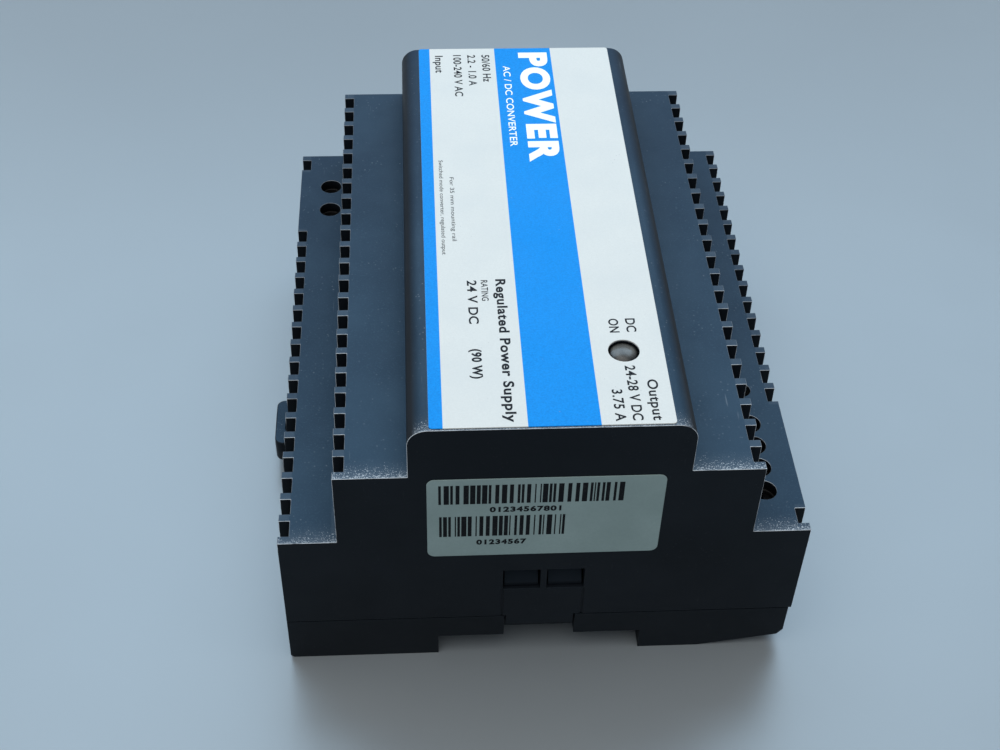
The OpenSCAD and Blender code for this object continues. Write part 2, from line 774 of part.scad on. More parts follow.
module transformer_core() color([0.13, 0.13, 0.14]) translate([core_x, core_y, core_z]) {
    difference() {
        translate([-core_half_x, -core_half_y, 0]) cube([2 * core_half_x, 2 * core_half_y, core_h]);
        translate([-core_half_x + leg_w, -core_half_y - eps, leg_w])
            cube([2 * (core_half_x - leg_w), 2 * (core_half_y + eps), core_h - 2 * leg_w]);
    }
    translate([0, 0, leg_w - eps]) cylinder(r = leg_r, h = core_h - 2 * leg_w + 2 * eps);
}

module transformer_bobbin() color([0.12, 0.12, 0.13]) translate([core_x, core_y, core_z + leg_w + 0.2]) {
    h = core_h - 2 * leg_w - 0.4;
    tube(bobbin_r, leg_r + 0.2, h);
    for (z = [0, h - flange_t]) translate([0, 0, z]) tube(winding_r + 0.2, leg_r + 0.2, flange_t);
}

module transformer_winding() color([0.88, 0.74, 0.20])
    translate([core_x, core_y, core_z + leg_w + 0.3 + flange_t])
    tube(winding_r, bobbin_r + 0.05, core_h - 2 * leg_w - 0.6 - 2 * flange_t);

inductor_at = [-1, -37.5, board_top + 5.6];
inductor_out = 8.2;
inductor_in = 4.2;
inductor_h = 8;
inductor_wound = [20, 340];

module inductor_core() color([0.80, 0.72, 0.18]) translate(inductor_at)
    tube_centred(inductor_out, inductor_in, inductor_h);

module inductor_winding() color([0.66, 0.34, 0.14]) translate(inductor_at)
    ring_winding(inductor_in, inductor_out, inductor_h, wrap, inductor_wound[0], inductor_wound[1]);

// Row of output capacitors, two chips and a row of resistors
output_cap_x = 20;
output_cap_y = -30.7;
output_cap_pitch = 13.2;
output_cap_r = 6.25;
output_cap_h = 26;
optocoupler_at = [-19, -39];
optocoupler_size = [6.6, 4.6, 3.6];
chip_at = [-21, -48.6];
chip_size = [9.5, 6.4, 3.4];
resistor_x = -37;
resistor_y = -6;
resistor_pitch = 14;
resistor_r = 2.1;
resistor_l = 10;

module output_capacitors() color([0.12, 0.13, 0.17])
    for (i = [-1 : 1]) translate([output_cap_x, output_cap_y + i * output_cap_pitch, board_top])
        cylinder(r = output_cap_r, h = output_cap_h);

module optocoupler() color([0.10, 0.10, 0.10]) box_part(optocoupler_at, optocoupler_size);
module control_chip() color([0.06, 0.06, 0.06]) box_part(chip_at, chip_size);

module power_resistors() color([0.52, 0.60, 0.66])
    for (i = [-1 : 1]) translate([resistor_x, resistor_y + i * resistor_pitch, board_top + resistor_r + 0.1])
        rotate([90, 0, 0]) cylinder(r = resistor_r, h = resistor_l, center = true);

// ---------------------------------------------------------------- the part

upper_case();
base();
front_label();
serial_label();
din_latch();
latch_spring();
main_board();
insulation_sheet();
board_screws();
input_terminal_block();
output_terminal_block();
input_screw_1();
input_screw_2();
output_screw_1();
output_screw_2();
output_screw_3();
output_screw_4();
input_clamp_1();
input_clamp_2();
output_clamp_1();
output_clamp_2();
output_clamp_3();
output_clamp_4();
input_contacts();
output_contacts();
trim_pot_body();
trim_pot_shaft();
led_lens();
led_spacer();
led_leads();
fuse_tube();
fuse_caps();
fuse_clips();
varistor();
inrush_thermistor();
x_capacitor();
choke_core();
choke_windings();
choke_base();
bridge_rectifier();
bulk_capacitor();
primary_heatsink();
power_transistor();
secondary_heatsink();
output_diode();
device_screws();
transformer_core();
transformer_bobbin();
transformer_winding();
inductor_core();
inductor_winding();
output_capacitors();
optocoupler();
control_chip();
y_capacitor();
power_resistors();
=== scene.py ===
"""Looks of the DIN-rail power supply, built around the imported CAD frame. Lengths are in metres."""

import math
import random

import bpy
from mathutils import Matrix, Vector


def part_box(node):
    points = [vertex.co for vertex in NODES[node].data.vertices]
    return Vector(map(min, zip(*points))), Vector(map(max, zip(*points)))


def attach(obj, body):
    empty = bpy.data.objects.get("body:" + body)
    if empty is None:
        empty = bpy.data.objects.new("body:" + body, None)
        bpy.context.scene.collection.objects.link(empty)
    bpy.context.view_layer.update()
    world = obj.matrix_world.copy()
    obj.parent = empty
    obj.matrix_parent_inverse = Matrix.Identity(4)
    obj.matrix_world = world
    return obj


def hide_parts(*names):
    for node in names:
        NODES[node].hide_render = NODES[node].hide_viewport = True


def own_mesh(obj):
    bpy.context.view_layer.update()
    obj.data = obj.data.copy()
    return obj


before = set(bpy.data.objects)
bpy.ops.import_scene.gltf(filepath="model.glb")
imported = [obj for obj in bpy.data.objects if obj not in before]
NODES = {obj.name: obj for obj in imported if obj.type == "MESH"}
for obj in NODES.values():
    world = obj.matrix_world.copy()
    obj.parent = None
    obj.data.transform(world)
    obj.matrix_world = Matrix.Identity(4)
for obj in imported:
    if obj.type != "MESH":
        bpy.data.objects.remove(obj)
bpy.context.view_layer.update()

MM = 0.001
HOUSING = "housing"
CASE_LOW, CASE_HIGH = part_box("upper_case")
BASE_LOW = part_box("base")[0]
LABEL_LOW, LABEL_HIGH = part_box("front_label")
STICKER_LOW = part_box("serial_label")[0]
LED_LOW, LED_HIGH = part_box("led_lens")

# ------------------------------------------------------------------ camera

FOCAL = 54.13
AZIMUTH, ELEVATION, ROLL = math.radians(-4.28), math.radians(44.46), math.radians(1.79)
CAMERA_PLACE = Vector((-20.67, -214.13, 228.13)) * MM
SENSOR_WIDTH = 36
CLIP_NEAR, CLIP_FAR = 0.01, 10


def make_camera():
    """Looks along an azimuth and a downward angle, with a little roll."""
    back = Vector((math.sin(AZIMUTH) * math.cos(ELEVATION),
                   -math.cos(AZIMUTH) * math.cos(ELEVATION),
                   math.sin(ELEVATION)))
    right = Vector((math.cos(AZIMUTH), math.sin(AZIMUTH), 0))
    up = back.cross(right)
    right, up = (right * math.cos(ROLL) + up * math.sin(ROLL),
                 up * math.cos(ROLL) - right * math.sin(ROLL))
    data = bpy.data.cameras.new("camera")
    data.lens = FOCAL
    data.sensor_width = SENSOR_WIDTH
    data.clip_start, data.clip_end = CLIP_NEAR, CLIP_FAR
    camera = bpy.data.objects.new("camera", data)
    bpy.context.scene.collection.objects.link(camera)
    turn = Matrix((right, up, back)).transposed()
    camera.matrix_world = Matrix.Translation(CAMERA_PLACE) @ turn.to_4x4()
    bpy.context.scene.camera = camera


make_camera()

# ------------------------------------------------------------------ node helpers


class Shader:
    """A node material: a Principled shader and short ways to add the nodes that feed it."""

    def __init__(self, name):
        self.material = bpy.data.materials.new(name)
        self.material.use_nodes = True
        self.tree = self.material.node_tree
        self.shader = self.tree.nodes["Principled BSDF"]
        self.place = self.node("ShaderNodeTexCoord").outputs["Object"]

    def node(self, kind, **settings):
        made = self.tree.nodes.new(kind)
        for key, value in settings.items():
            setattr(made, key, value)
        return made

    def link(self, source, target):
        if isinstance(source, bpy.types.NodeSocket):
            self.tree.links.new(source, target)
        else:
            target.default_value = source

    def set(self, **values):
        """Feeds inputs of the Principled shader, named with _ for each space."""
        for key, value in values.items():
            self.link(value, self.shader.inputs[key.replace("_", " ")])

    def math(self, operation, *values, clamp=False):
        made = self.node("ShaderNodeMath", operation=operation, use_clamp=clamp)
        for value, socket in zip(values, made.inputs):
            self.link(value, socket)
        return made.outputs[0]

    def plus(self, *values, clamp=False):
        return self.math("ADD", *values, clamp=clamp)

    def minus(self, *values):
        return self.math("SUBTRACT", *values)

    def times(self, *values, clamp=False):
        return self.math("MULTIPLY", *values, clamp=clamp)

    def greater(self, *values):
        return self.math("MAXIMUM", *values)

    def scaled(self, factors):
        """The object's coordinates, times a factor for each axis."""
        made = self.node("ShaderNodeMapping")
        self.link(self.place, made.inputs["Vector"])
        made.inputs["Scale"].default_value = factors
        return made.outputs[0]

    def noise(self, size, detail=3.0, rough=0.55, stretch=(1, 1, 1)):
        """Noise between 0 and 1 whose lumps are about size metres across."""
        made = self.node("ShaderNodeTexNoise")
        self.link(self.scaled([s / size for s in stretch]), made.inputs["Vector"])
        made.inputs["Scale"].default_value = 1
        made.inputs["Detail"].default_value = detail
        made.inputs["Roughness"].default_value = rough
        return made.outputs["Fac"]

    def cells(self, size):
        """Distance from the nearest of many scattered points about size metres apart, as a part of size."""
        made = self.node("ShaderNodeTexVoronoi")
        self.link(self.scaled([1 / size] * 3), made.inputs["Vector"])
        made.inputs["Scale"].default_value = 1
        return made.outputs["Distance"]

    def ramp(self, source, low, high):
        """0 below low, 1 above high, straight between."""
        made = self.node("ShaderNodeMapRange", clamp=True)
        self.link(source, made.inputs["Value"])
        made.inputs["From Min"].default_value = low
        made.inputs["From Max"].default_value = high
        return made.outputs["Result"]

    def between(self, source, low, high, soft=0.03 * MM):
        """1 from low to high, 0 outside."""
        above_low = self.ramp(source, low - soft, low + soft)
        below_high = self.ramp(source, high + soft, high - soft)
        return self.times(above_low, below_high)

    def axis(self, name):
        made = self.node("ShaderNodeSeparateXYZ")
        self.link(self.place, made.inputs[0])
        return made.outputs[name]

    def normal_axis(self, name):
        made = self.node("ShaderNodeSeparateXYZ")
        self.link(self.node("ShaderNodeNewGeometry").outputs["Normal"], made.inputs[0])
        return made.outputs[name]

    def mix(self, factor, first, second):
        made = self.node("ShaderNodeMix", data_type="RGBA")
        self.link(factor, made.inputs[0])
        for value, socket in ((first, made.inputs[6]), (second, made.inputs[7])):
            self.link(value if isinstance(value, bpy.types.NodeSocket) else (*value, 1), socket)
        return made.outputs[2]

    def blend_value(self, factor, first, second):
        made = self.node("ShaderNodeMix", data_type="FLOAT")
        for value, socket in ((factor, made.inputs[0]), (first, made.inputs[2]), (second, made.inputs[3])):
            self.link(value, socket)
        return made.outputs[0]

    def bump(self, height, depth, strength=1.0, below=None):
        """Surface relief: height from 0 to 1 becomes depth metres."""
        made = self.node("ShaderNodeBump")
        made.inputs["Strength"].default_value = strength
        made.inputs["Distance"].default_value = depth
        self.link(height, made.inputs["Height"])
        if below is not None:
            self.link(below, made.inputs["Normal"])
        self.link(made.outputs[0], self.shader.inputs["Normal"])
        return made.outputs[0]


# ------------------------------------------------------------------ materials

CHARCOAL = (0.0052, 0.0066, 0.0090)
# lighter charcoal of the high edges: wear and painted highlight
CHARCOAL_WORN_AND_LIT = (0.018, 0.025, 0.036)
# bluish painted reflection of the sky with dust in it, from weak to strong
SHEEN_AND_DUST_LOW = (0.0035, 0.012, 0.028)
SHEEN_AND_DUST_HIGH = (0.022, 0.046, 0.074)
# pale colour of real scratches and specks, also of the painted glints and painted highlights on the decks
# and edges
PALE_SCUFF_AND_HIGHLIGHT = (0.56, 0.60, 0.63)
# width of the band of painted glints at the near end of the decks, and the height above which wear, painted
# glints, painted highlights and the painted sky reflection go
NEAR_GLINT_BAND = 6 * MM
LOWEST_WORN_AND_LIT = 30 * MM
RIB_DEPTH = 1.9 * MM
LOW_DECK, MID_DECK = 33 * MM, 47 * MM
MID_HALF = 35.1 * MM
UNSLOTTED_RIGHT = (-48.3 * MM, -24.2 * MM)
UNSLOTTED_LEFT = (29.0 * MM, 48.3 * MM)
CASE_GLOSS = 0.18
CASE_TINT = (0.60, 0.82, 1.0, 1.0)
# how much of the strength of the painted sky reflection and dust comes from clouds, grit, nearness and
# height
CLOUD_SHARE, GRIT_SHARE, NEAR_SHARE, HEIGHT_SHARE = 0.45, 0.25, 0.36, 0.14
# how strongly scratches and specks show as pale wear, the bar tops as pale wear and painted highlight, and
# the near edges as painted glints and highlight
SCRATCH_WEAR, SPECK_WEAR, RIB_SHEEN_AND_WEAR, NEAR_HIGHLIGHT = 0.10, 0.14, 0.12, 0.70
# noise above this is a painted glint, and how far that falls right at the near edge
GLINT_LIMIT, GLINT_LIMIT_DROP = 0.76, 0.27


def set_gloss(m, level, tint=None):
    m.shader.inputs["Specular IOR Level"].default_value = level
    if tint:
        m.shader.inputs["Specular Tint"].default_value = tint


def rib_tops(m, upward):
    """The tops of the bars between the vent slots, on both pairs of decks, where pale wear and a painted
    highlight of their rounded edges go.
    """
    across = m.axis("X")
    along = m.axis("Y")
    distance = m.math("ABSOLUTE", across)
    low_deck = m.ramp(distance, CASE_HIGH.x - RIB_DEPTH, CASE_HIGH.x - RIB_DEPTH + 0.2 * MM)
    mid_deck = m.between(distance, MID_HALF - RIB_DEPTH, MID_HALF + MM, 0.1 * MM)
    plain_right = m.times(m.between(along, *UNSLOTTED_RIGHT), m.ramp(across, 0, MM))
    plain_left = m.times(m.between(along, *UNSLOTTED_LEFT), m.ramp(across, 0, -MM))
    slotted = m.minus(1, m.greater(plain_right, plain_left))
    low_deck = m.times(low_deck, slotted)
    return m.times(m.greater(low_deck, mid_deck), upward)


def near_sparkle(m, upward):
    """Painted glints and a thin painted highlight along the near edge of each deck."""
    near_end = m.ramp(m.axis("Y"), CASE_LOW.y + NEAR_GLINT_BAND, CASE_LOW.y + 0.2 * MM)
    near_end = m.math("POWER", near_end, 2.0)
    grains = m.noise(0.19 * MM, detail=1, rough=0.5)
    limit = m.minus(GLINT_LIMIT, m.times(near_end, GLINT_LIMIT_DROP))
    glints = m.ramp(m.minus(grains, limit), 0.0, 0.12)
    patch = m.ramp(m.noise(6 * MM, detail=3), 0.22, 0.45)
    glints = m.times(m.times(glints, patch), m.ramp(near_end, 0.02, 0.3))
    # painted highlight: a soft haze right at the near edge
    glints = m.greater(glints, m.times(m.math("POWER", near_end, 1.6), 0.12))
    high = m.ramp(m.axis("Z"), LOWEST_WORN_AND_LIT, LOWEST_WORN_AND_LIT + MM)
    return m.times(m.times(glints, NEAR_HIGHLIGHT), m.times(high, upward))


def sky_sheen_and_dust(m, cloud):
    """Colour of the upward faces: a bluish painted reflection of the sky with dust in it, stronger in
    clouds, towards the near end and on the higher decks, with single grains in it."""
    grit = m.noise(0.4 * MM, detail=2, rough=0.6)
    sheen_and_dust_amount = m.plus(m.times(m.ramp(cloud, 0.35, 0.75), CLOUD_SHARE), m.times(grit, GRIT_SHARE))
    nearness = m.ramp(m.axis("Y"), CASE_HIGH.y, CASE_LOW.y)
    sheen_and_dust_amount = m.plus(sheen_and_dust_amount, m.times(nearness, NEAR_SHARE))
    height = m.ramp(m.axis("Z"), LOW_DECK, MID_DECK)
    sheen_and_dust_amount = m.plus(sheen_and_dust_amount, m.times(height, HEIGHT_SHARE))
    grains = m.ramp(m.noise(0.35 * MM, detail=1), 0.60, 0.80)
    sheen_and_dust_amount = m.plus(sheen_and_dust_amount, m.times(grains, m.plus(0.2, nearness)))
    return m.mix(sheen_and_dust_amount, SHEEN_AND_DUST_LOW, SHEEN_AND_DUST_HIGH)


def handling_wear(m, cloud, upward):
    """Scratches across the case and pale specks, faint on upright sides."""
    scratch = m.noise(4 * MM, detail=2, stretch=(6, 0.35, 1))
    scratches = m.times(m.ramp(scratch, 0.70, 0.76), m.ramp(cloud, 0.45, 0.6))
    specks = m.ramp(m.cells(1 * MM), 0.20, 0.08)
    specks = m.times(specks, m.ramp(m.noise(8 * MM, detail=3), 0.46, 0.68))
    wear = m.greater(m.times(scratches, SCRATCH_WEAR), m.times(specks, SPECK_WEAR))
    return m.times(wear, m.plus(0.12, upward, clamp=True))


def case_plastic(name, base=CHARCOAL, film_above=LOWEST_WORN_AND_LIT, deck_wear_and_highlights=False):
    """Fine spark-textured charcoal plastic, worn by handling.
    A bluish painted reflection of the sky, with dust in it, lies on what faces up above a height. With deck
    wear and highlights, pale wear, painted glints and painted highlights go on the decks."""
    m = Shader(name)
    cloud = m.noise(22 * MM, detail=4)
    upward = m.ramp(m.normal_axis("Z"), 0.65, 0.98)
    upward = m.times(upward, m.ramp(m.axis("Z"), film_above, film_above + MM))
    bare = m.mix(m.ramp(cloud, 0.40, 0.75), base, [c * 1.6 for c in base])
    wear = handling_wear(m, cloud, upward)
    if deck_wear_and_highlights:
        wear = m.greater(wear, near_sparkle(m, upward))
        # pale wear and painted highlight on the bar tops
        rib_sheen_and_wear = m.times(rib_tops(m, upward), m.ramp(m.noise(3 * MM, detail=3), 0.1, 1.6))
        wear = m.greater(wear, m.times(rib_sheen_and_wear, RIB_SHEEN_AND_WEAR))
    # upward faces take the painted sky reflection with dust; pale wear, painted glints and painted
    # highlights go over it
    m.set(Base_Color=m.mix(wear, m.mix(upward, bare, sky_sheen_and_dust(m, cloud)), PALE_SCUFF_AND_HIGHLIGHT),
          Roughness=m.blend_value(m.noise(4 * MM), 0.40, 0.54))
    set_gloss(m, CASE_GLOSS, CASE_TINT)
    below = m.bump(m.noise(0.28 * MM, detail=2), 0.02 * MM, 0.55)
    m.bump(m.noise(12 * MM, detail=2), 0.12 * MM, 0.35, below=below)
    return m.material


def edge_wear_and_highlight():
    """The rounded corners of the case: pale with wear and painted highlight along the decks, most on edges
    facing the front near the near end, plain lower down.
    """
    m = Shader("case_edge")
    high = m.ramp(m.axis("Z"), LOWEST_WORN_AND_LIT, LOWEST_WORN_AND_LIT + 1.5 * MM)
    facing_front = m.ramp(m.normal_axis("Y"), 0.1, -0.5)
    near = m.ramp(m.axis("Y"), 20 * MM, CASE_LOW.y)
    amount = m.times(facing_front, m.plus(0.35, near))
    amount = m.times(high, m.plus(0.10, amount), clamp=True)
    # wear and painted highlight on the front-facing edges
    rub_and_highlight = m.times(m.ramp(m.noise(2.2 * MM, detail=4, rough=0.6), 0.24, 0.50), amount)
    m.set(Base_Color=m.mix(rub_and_highlight, m.mix(high, CHARCOAL, CHARCOAL_WORN_AND_LIT), PALE_SCUFF_AND_HIGHLIGHT),
          Roughness=m.blend_value(rub_and_highlight, 0.38, 0.46))
    set_gloss(m, CASE_GLOSS, CASE_TINT)
    m.bump(m.noise(0.5 * MM, detail=2), 0.03 * MM, 0.5)
    return m.material


def plain_plastic(name, colour, roughness=0.45, grain=0.4 * MM):
    """Moulded or dipped plastic of one colour with a fine grain, a little uneven in tone and gloss."""
    m = Shader(name)
    tone = m.ramp(m.noise(6 * MM, detail=3), 0.3, 0.75)
    m.set(Base_Color=m.mix(tone, [c * 0.86 for c in colour], colour),
          Roughness=m.blend_value(m.noise(3 * MM), roughness - 0.06, roughness + 0.06))
    m.bump(m.noise(grain, detail=2), 0.02 * MM, 0.5)
    return m.material


def metal(name, colour, roughness=0.3, brushed=(1, 1, 1), grain=0.5 * MM):
    """Metal. Its brush marks run along the axis with the smallest factor."""
    m = Shader(name)
    tone = m.ramp(m.noise(3 * MM, detail=4, stretch=brushed), 0.3, 0.75)
    m.set(Base_Color=m.mix(tone, [c * 0.72 for c in colour], colour),
          Roughness=m.blend_value(m.noise(2 * MM, stretch=brushed), roughness - 0.08, roughness + 0.10))
    m.shader.inputs["Metallic"].default_value = 1.0
    m.bump(m.noise(grain, detail=3, stretch=brushed), 0.02 * MM, 0.5)
    return m.material


# ------------------------------------------------------------------ light and floor

FLOOR_SIDE = 6.0
FLOOR_DARK = (0.225, 0.252, 0.268)
FLOOR_PALE = (0.255, 0.284, 0.300)
WORLD_COLOUR = (0.80, 0.88, 1.0, 1)
WORLD_STRENGTH = 0.40
LIGHTS = (
    # name, place, where it aims, width and depth, watts, colour
    ("sky_panel", (0.0, 0.70, 0.92), (0, 0, 0.03), (1.5, 0.8), 12.5, (0.60, 0.81, 1.0)),
    ("top_panel", (-0.20, -0.40, 1.5), (0, -0.02, 0.03), (1.5, 1.5), 12.6, (1.0, 0.97, 0.92)),
    ("front_fill", (0.25, -1.1, 0.5), (0, 0, 0.03), (0.9, 0.6), 0.06, (1.0, 0.97, 0.93)),
    ("left_fill", (-1.2, 0.1, 0.35), (0, 0, 0.03), (1.2, 0.6), 2.6, (1.0, 0.98, 0.95)),
    ("right_fill", (1.2, 0.1, 0.35), (0, 0, 0.03), (1.2, 0.6), 2.6, (1.0, 0.98, 0.95)),
)


def floor_material():
    """Pale satin floor with broad soft patches."""
    m = Shader("floor")
    tone = m.ramp(m.noise(350 * MM, detail=4), 0.3, 0.7)
    m.set(Base_Color=m.mix(tone, FLOOR_DARK, FLOOR_PALE),
          Roughness=m.blend_value(m.noise(50 * MM), 0.30, 0.38))
    m.shader.inputs["Metallic"].default_value = 0.22
    m.bump(m.noise(2 * MM, detail=2), 0.03 * MM, 0.3)
    return m.material


def area_light(name, place, aim, size, power, colour):
    data = bpy.data.lights.new(name, "AREA")
    data.shape = "RECTANGLE"
    data.size, data.size_y = size
    data.energy = power
    data.color = colour
    light = bpy.data.objects.new(name, data)
    light.location = place
    light.rotation_euler = (Vector(aim) - Vector(place)).to_track_quat("-Z", "Y").to_euler()
    bpy.context.scene.collection.objects.link(light)


def make_studio():
    """Plain floor under the base, even sky light and soft area lights."""
    mesh = bpy.data.meshes.new("floor")
    half = FLOOR_SIDE / 2
    corners = [(-half, -half, 0), (half, -half, 0), (half, half, 0), (-half, half, 0)]
    mesh.from_pydata(corners, [], [(0, 1, 2, 3)])
    floor = bpy.data.objects.new("floor", mesh)
    floor.location.z = BASE_LOW.z
    floor.data.materials.append(floor_material())
    bpy.context.scene.collection.objects.link(floor)
    world = bpy.data.worlds.new("world")
    world.use_nodes = True
    background = world.node_tree.nodes["Background"]
    background.inputs["Color"].default_value = WORLD_COLOUR
    background.inputs["Strength"].default_value = WORLD_STRENGTH
    bpy.context.scene.world = world
    bpy.context.scene.view_settings.view_transform = "Standard"
    for name, place, aim, size, power, colour in LIGHTS:
        area_light(name, place, aim, size, power, colour)


make_studio()

# ------------------------------------------------------------------ CAD nodes: edges and finishes

WELD_DISTANCE = 0.002 * MM
FLAT_ANGLE = math.radians(0.5)
EDGE_ANGLE = math.radians(35)


def dress(node, material, edge_width=0.12 * MM, edge_material=None, segments=2, flatten=True):
    """Gives a CAD node its material, and small rounded edges by modifiers.
    Flatten merges the triangles of each flat side. It stays off where a small side is mostly opening."""
    piece = NODES[node]
    piece.data.materials.clear()
    piece.data.materials.append(material)
    if edge_material is not None:
        piece.data.materials.append(edge_material)
    for polygon in piece.data.polygons:
        polygon.material_index = 0
    weld = piece.modifiers.new("weld", "WELD")
    weld.merge_threshold = WELD_DISTANCE
    if flatten:
        flat = piece.modifiers.new("flat", "DECIMATE")
        flat.decimate_type = "DISSOLVE"
        flat.angle_limit = FLAT_ANGLE
    if edge_width:
        bevel = piece.modifiers.new("bevel", "BEVEL")
        bevel.width = edge_width
        bevel.segments = segments
        bevel.limit_method = "ANGLE"
        bevel.angle_limit = EDGE_ANGLE
        bevel.miter_outer = "MITER_ARC"
        bevel.use_clamp_overlap = True
        bevel.harden_normals = False
        if edge_material is not None:
            bevel.material = 1


case_edge = edge_wear_and_highlight()
dress("upper_case", case_plastic("case_skin", deck_wear_and_highlights=True), 0.16 * MM, case_edge)
dress("base", case_plastic("base_skin", [c * 0.8 for c in CHARCOAL]), 0.16 * MM, case_edge)
latch_skin = case_plastic("latch_skin", [c * 0.85 for c in CHARCOAL], film_above=0)
dress("din_latch", latch_skin, 0.2 * MM, case_edge)

# ------------------------------------------------------------------ pieces made here


def add_piece(name, mesh, material):
    """Adds a piece that rides on the housing."""
    mesh.materials.clear()
    mesh.materials.append(material)
    piece = bpy.data.objects.new(name, mesh)
    bpy.context.scene.collection.objects.link(piece)
    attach(piece, HOUSING)
    return piece


def mesh_from(name, points, faces, smooth=False):
    mesh = bpy.data.meshes.new(name)
    mesh.from_pydata([tuple(p) for p in points], [], faces)
    mesh.validate()
    for polygon in mesh.polygons:
        polygon.use_smooth = smooth
    return mesh


def joined(parts):
    """One list of points and one of faces from several pairs of them."""
    points, faces = [], []
    for more_points, more_faces in parts:
        base = len(points)
        points += more_points
        faces += [tuple(base + i for i in face) for face in more_faces]
    return points, faces


# a stretch of wire with more than this part of its direction along Z gets its sides from X
STEEP = 0.9


def tube_mesh(name, route, radius, sides=10):
    """Round wire of a radius along a list of points, with closed ends."""
    rings, faces = [], []
    count = len(route)
    for i, point in enumerate(route):
        ahead = (route[min(i + 1, count - 1)] - route[max(i - 1, 0)]).normalized()
        across = Vector((0, 0, 1)) if abs(ahead.z) < STEEP else Vector((1, 0, 0))
        side = ahead.cross(across).normalized()
        up = side.cross(ahead)
        for j in range(sides):
            angle = 2 * math.pi * j / sides
            rings.append(point + radius * (math.cos(angle) * side + math.sin(angle) * up))
    for i in range(count - 1):
        for j in range(sides):
            k = (j + 1) % sides
            faces.append((i * sides + j, i * sides + k, (i + 1) * sides + k, (i + 1) * sides + j))
    faces.append(tuple(range(sides - 1, -1, -1)))
    faces.append(tuple((count - 1) * sides + j for j in range(sides)))
    return mesh_from(name, rings, faces, smooth=True)


# ------------------------------------------------------------------ front label

LABEL_WHITE = (0.64, 0.645, 0.61)
LABEL_BLUE = (0.0, 0.205, 0.60)
LABEL_BLUE_PALE = (0.001, 0.26, 0.71)
LABEL_SMUDGE = (0.57, 0.59, 0.575)
LABEL_FLECK = (0.30, 0.31, 0.32)
DARK_INK = (0.004, 0.0055, 0.008)
WHITE_INK = (0.86, 0.88, 0.89)
BANDS = ((-19.5 * MM, -17.3 * MM), (-4.0 * MM, 7.5 * MM))
PRINT_RISE = 0.012 * MM


def front_film():
    """Satin white film with two printed blue bands, a fine print grain and handling smudges."""
    m = Shader("front_film")
    across = m.axis("X")
    blue = None
    for low, high in BANDS:
        inside = m.between(across, low, high)
        blue = inside if blue is None else m.greater(blue, inside)
    grain = m.ramp(m.noise(0.3 * MM, detail=2), 0.3, 0.7)
    smudge = m.ramp(m.noise(12 * MM, detail=5, rough=0.6), 0.42, 0.75)
    white = m.mix(m.times(grain, 0.5), LABEL_WHITE, [c * 0.90 for c in LABEL_WHITE])
    white = m.mix(m.times(smudge, 0.5), white, LABEL_SMUDGE)
    deep = m.mix(grain, LABEL_BLUE, LABEL_BLUE_PALE)
    fleck = m.times(m.ramp(m.cells(1.6 * MM), 0.07, 0.03), m.ramp(m.noise(10 * MM), 0.52, 0.6))
    print_colour = m.mix(blue, white, deep)
    m.set(Base_Color=m.mix(m.times(fleck, 0.6), print_colour, LABEL_FLECK),
          Roughness=m.blend_value(smudge, 0.34, 0.46))
    set_gloss(m, 0.08)
    below = m.bump(m.noise(0.4 * MM, detail=2), 0.01 * MM, 0.4)
    m.bump(m.noise(18 * MM, detail=2), 0.15 * MM, 0.3, below=below)
    return m.material


def ink(name, colour, size=0.5 * MM):
    """Printed ink with small gaps in its coverage."""
    m = Shader(name)
    thin = m.ramp(m.noise(size, detail=3), 0.56, 0.74)
    m.set(Base_Color=m.mix(m.times(thin, 0.25), colour, [min(1, c + 0.07) for c in colour]),
          Roughness=m.blend_value(m.noise(1 * MM), 0.40, 0.54))
    set_gloss(m, 0.12)
    m.bump(m.noise(size, detail=2), 0.005 * MM, 0.4)
    return m.material


dress("front_label", front_film(), 0.05 * MM)
dark_ink = ink("dark_ink", DARK_INK)
white_ink = ink("white_ink", WHITE_INK)

# of the font: height of its capitals, how much wider the gaps grow as the strokes thicken,
# and how many steps each curve of a letter has
CAP_HEIGHT = 0.682
GAP_FOR_WEIGHT = 3.5
CURVE_STEPS = 6


def text_mesh(name, words, height, length, ends="LEFT", weight=0.0):
    """Flat letters along +X with capitals of a height, fitted to a length.
    Weight thickens the strokes, as a part of the font size."""
    curve = bpy.data.curves.new(name, "FONT")
    curve.body = words
    curve.offset = weight
    curve.space_character = 1 + GAP_FOR_WEIGHT * weight
    curve.resolution_u = CURVE_STEPS
    curve.fill_mode = "FRONT"
    holder = bpy.data.objects.new(name, curve)
    bpy.context.scene.collection.objects.link(holder)
    bpy.context.view_layer.update()
    mesh = bpy.data.meshes.new_from_object(holder.evaluated_get(bpy.context.evaluated_depsgraph_get()))
    bpy.data.objects.remove(holder)
    bpy.data.curves.remove(curve)
    low = min(v.co.x for v in mesh.vertices)
    wide = max(v.co.x for v in mesh.vertices) - low
    shift = {"LEFT": 0, "CENTRE": -0.5, "RIGHT": -1}[ends] * length
    for v in mesh.vertices:
        v.co.x = (v.co.x - low) * length / wide + shift
        v.co.y = (v.co.y + weight) * height / (CAP_HEIGHT + 2 * weight)
    return mesh


def print_on_label(name, mesh, x, y, material):
    """Lays flat print on the front label: it reads towards -Y and its tops point to +X."""
    place = Matrix.Translation((x, y, LABEL_HIGH.z + PRINT_RISE))
    mesh.transform(place @ Matrix.Rotation(-math.pi / 2, 4, "Z"))
    add_piece(name, mesh, material)


